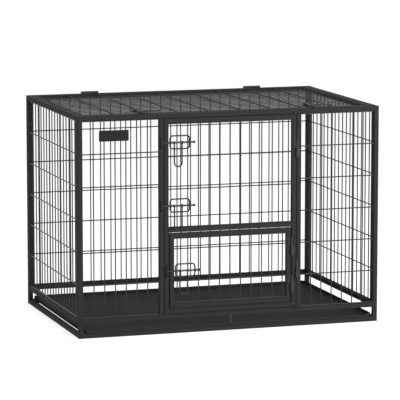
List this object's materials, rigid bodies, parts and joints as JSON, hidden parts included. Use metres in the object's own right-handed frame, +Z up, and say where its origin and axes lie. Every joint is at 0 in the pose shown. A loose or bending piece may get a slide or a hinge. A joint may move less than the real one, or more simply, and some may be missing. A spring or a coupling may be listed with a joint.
{
  "type": "heavy duty dog crate",
  "caption": "Grey-black dog crate of square steel tube and welded wire mesh, with a small door set in the main door, a hinged lid, slide bolts and a tray that pulls out at the front.",
  "frame": {"origin": "on the floor, at the bottom centre of the box over the crate and its front hardware", "axes": "X along the front to the right, Y from the front to the back, Z up"},
  "size_m": [1.07, 0.7124, 0.7624],
  "materials": {
    "frame_paint": "satin hammered",
    "wire_paint": "satin",
    "tray_plastic": "matte",
    "label_plastic": "satin",
    "black_screws": "black plated"
  },
  "bodies": {
    "frame": {"front_corner_posts": "frame_paint", "front_door_posts": "frame_paint", "front_rails": "frame_paint", "front_mesh": "wire_paint", "rear_corner_posts": "frame_paint", "rear_rails": "frame_paint", "rear_mesh": "wire_paint", "left_stiles": "frame_paint", "left_rails": "frame_paint", "left_mesh": "wire_paint", "right_stiles": "frame_paint", "right_rails": "frame_paint", "right_mesh": "wire_paint", "panel_bolts": "black_screws", "label_plate": "label_plastic", "door_hinge_pins": "frame_paint", "door_keepers": "wire_paint", "lid_hinge_pins": "frame_paint", "lid_keepers": "wire_paint", "clip_screw": "black_screws"},
    "door": {"door_stiles": "frame_paint", "door_rails": "frame_paint", "door_mesh": "wire_paint", "door_hinge_bushes": "frame_paint", "door_latch_loops": "wire_paint", "small_hinge_pins": "frame_paint", "small_keeper": "wire_paint"},
    "small_door": {"small_door_stiles": "frame_paint", "small_door_rails": "frame_paint", "small_door_mesh": "wire_paint", "small_hinge_bushes": "frame_paint", "small_latch_loop": "wire_paint"},
    "lid": {"lid_side_tubes": "frame_paint", "lid_rails": "frame_paint", "lid_mesh": "wire_paint", "lid_hinge_bushes": "frame_paint", "lid_latch_loops": "wire_paint"},
    "tray": {"tray": "tray_plastic"},
    "clip": {"tray_clip": "wire_paint"},
    "upper_bolt": {"upper_bolt": "wire_paint"},
    "upper_handle": {"upper_handle": "wire_paint"},
    "middle_bolt": {"middle_bolt": "wire_paint"},
    "middle_handle": {"middle_handle": "wire_paint"},
    "small_bolt": {"small_bolt": "wire_paint"},
    "small_handle": {"small_handle": "wire_paint"},
    "left_lid_bolt": {"left_lid_bolt": "wire_paint"},
    "left_lid_handle": {"left_lid_handle": "wire_paint"},
    "right_lid_bolt": {"right_lid_bolt": "wire_paint"},
    "right_lid_handle": {"right_lid_handle": "wire_paint"}
  },
  "joints": [
    {"name": "door_hinge", "type": "hinge", "parent": "frame", "child": "door", "pos_m": [0.23625, -0.3483, 0.4], "axis": [0, 0, 1], "range_deg": [0, 90]},
    {"name": "small_door_hinge", "type": "hinge", "parent": "door", "child": "small_door", "pos_m": [0.218, -0.3483, 0.215], "axis": [0, 0, 1], "range_deg": [0, 90]},
    {"name": "lid_hinge", "type": "hinge", "parent": "frame", "child": "lid", "pos_m": [0, 0.33945, 0.7545], "axis": [-1, 0, 0], "range_deg": [0, 110]},
    {"name": "tray_slide", "type": "slide", "parent": "frame", "child": "tray", "axis": [0, -1, 0], "range_m": [0, 0.64]},
    {"name": "clip_turn", "type": "hinge", "parent": "frame", "child": "clip", "pos_m": [0, -0.3452, 0.058], "axis": [0, -1, 0], "range_deg": [-90, 90]},
    {"name": "upper_bolt_slide", "type": "slide", "parent": "door", "child": "upper_bolt", "axis": [1, 0, 0], "range_m": [-0.006, 0.018]},
    {"name": "upper_handle_turn", "type": "hinge", "parent": "upper_bolt", "child": "upper_handle", "pos_m": [-0.19, -0.3472, 0.6515], "axis": [-1, 0, 0], "range_deg": [0, 170]},
    {"name": "middle_bolt_slide", "type": "slide", "parent": "door", "child": "middle_bolt", "axis": [1, 0, 0], "range_m": [-0.006, 0.018]},
    {"name": "middle_handle_turn", "type": "hinge", "parent": "middle_bolt", "child": "middle_handle", "pos_m": [-0.19, -0.3472, 0.437], "axis": [-1, 0, 0], "range_deg": [0, 170]},
    {"name": "small_bolt_slide", "type": "slide", "parent": "small_door", "child": "small_bolt", "axis": [1, 0, 0], "range_m": [-0.006, 0.018]},
    {"name": "small_handle_turn", "type": "hinge", "parent": "small_bolt", "child": "small_handle", "pos_m": [-0.19, -0.3472, 0.21467], "axis": [-1, 0, 0], "range_deg": [0, 170]},
    {"name": "left_lid_bolt_slide", "type": "slide", "parent": "lid", "child": "left_lid_bolt", "axis": [0, 1, 0], "range_m": [-0.006, 0.018]},
    {"name": "left_lid_handle_turn", "type": "hinge", "parent": "left_lid_bolt", "child": "left_lid_handle", "pos_m": [-0.3055, -0.2788, 0.7534], "axis": [0, -1, 0], "range_deg": [0, 170]},
    {"name": "right_lid_bolt_slide", "type": "slide", "parent": "lid", "child": "right_lid_bolt", "axis": [0, 1, 0], "range_m": [-0.006, 0.018]},
    {"name": "right_lid_handle_turn", "type": "hinge", "parent": "right_lid_bolt", "child": "right_lid_handle", "pos_m": [0.3055, -0.2788, 0.7534], "axis": [0, -1, 0], "range_deg": [0, 170]}
  ]
}
